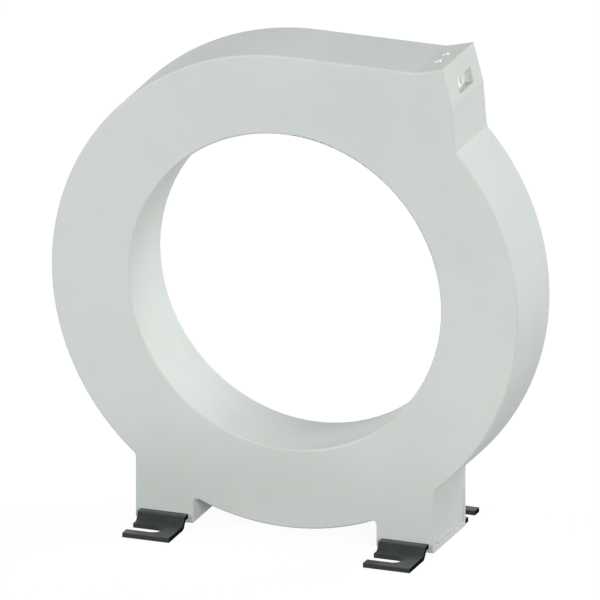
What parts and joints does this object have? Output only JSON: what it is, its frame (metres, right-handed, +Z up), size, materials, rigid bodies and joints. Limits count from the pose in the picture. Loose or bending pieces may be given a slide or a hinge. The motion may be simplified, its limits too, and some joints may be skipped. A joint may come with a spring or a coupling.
{
  "type": "ring-core current transformer",
  "caption": "Current transformer with a round through window in a moulded ring housing, a corner clamp terminal and slotted metal mounting feet.",
  "frame": {"origin": "on the mounting plane, under the middle of the window, at mid-depth of the housing", "axes": "+Z up from the mounting plane, +Y along the window's axis towards the back cover, +X towards the terminal corner"},
  "size_m": [0.21, 0.083, 0.2182],
  "materials": {
    "housing": "satin moulded",
    "cover": "satin moulded",
    "core_case": "moulded",
    "core": "tape-wound magnetic strip",
    "winding": "enamelled copper wire",
    "tape": "polyester film tape",
    "lead_red": "insulated stranded lead",
    "lead_blue": "insulated stranded lead",
    "terminal_plastic": "satin moulded",
    "contact": "tinned brass",
    "clamp_steel": "zinc plated",
    "screw_steel": "zinc plated",
    "bracket_steel": "black coated steel"
  },
  "bodies": {
    "housing": {"housing_shell": "housing", "rear_cover": "cover", "core_case_tray": "core_case", "core_case_lid": "core_case", "magnetic_core": "core", "secondary_winding": "winding", "winding_wrap": "tape", "lead_start": "lead_red", "lead_finish": "lead_blue", "terminal_body": "terminal_plastic", "contact_bar_front": "contact", "contact_bar_rear": "contact", "bracket_front_left": "bracket_steel", "bracket_front_right": "bracket_steel", "bracket_rear_left": "bracket_steel", "bracket_rear_right": "bracket_steel"},
    "screw_front": {"terminal_screw_front": "screw_steel"},
    "screw_rear": {"terminal_screw_rear": "screw_steel"},
    "cage_front": {"clamp_cage_front": "clamp_steel"},
    "cage_rear": {"clamp_cage_rear": "clamp_steel"}
  },
  "joints": [
    {"name": "screw_front_turn", "type": "hinge", "parent": "housing", "child": "screw_front", "pos_m": [0.06397, -0.00425, 0.21378], "axis": [-0.2504, 0, 0.9681], "range_deg": [-1980, 0]},
    {"name": "cage_front_rise", "type": "slide", "parent": "housing", "child": "cage_front", "axis": [-0.2504, 0, 0.9681], "range_m": [0, 0.00275]},
    {"name": "screw_rear_turn", "type": "hinge", "parent": "housing", "child": "screw_rear", "pos_m": [0.06397, 0.00525, 0.21378], "axis": [-0.2504, 0, 0.9681], "range_deg": [-1980, 0]},
    {"name": "cage_rear_rise", "type": "slide", "parent": "housing", "child": "cage_rear", "axis": [-0.2504, 0, 0.9681], "range_m": [0, 0.00275]}
  ],
  "couplings": [
    {"joint": "screw_front_turn", "follows": "cage_front_rise", "rad_per_m": -12566},
    {"joint": "screw_rear_turn", "follows": "cage_rear_rise", "rad_per_m": -12566}
  ]
}
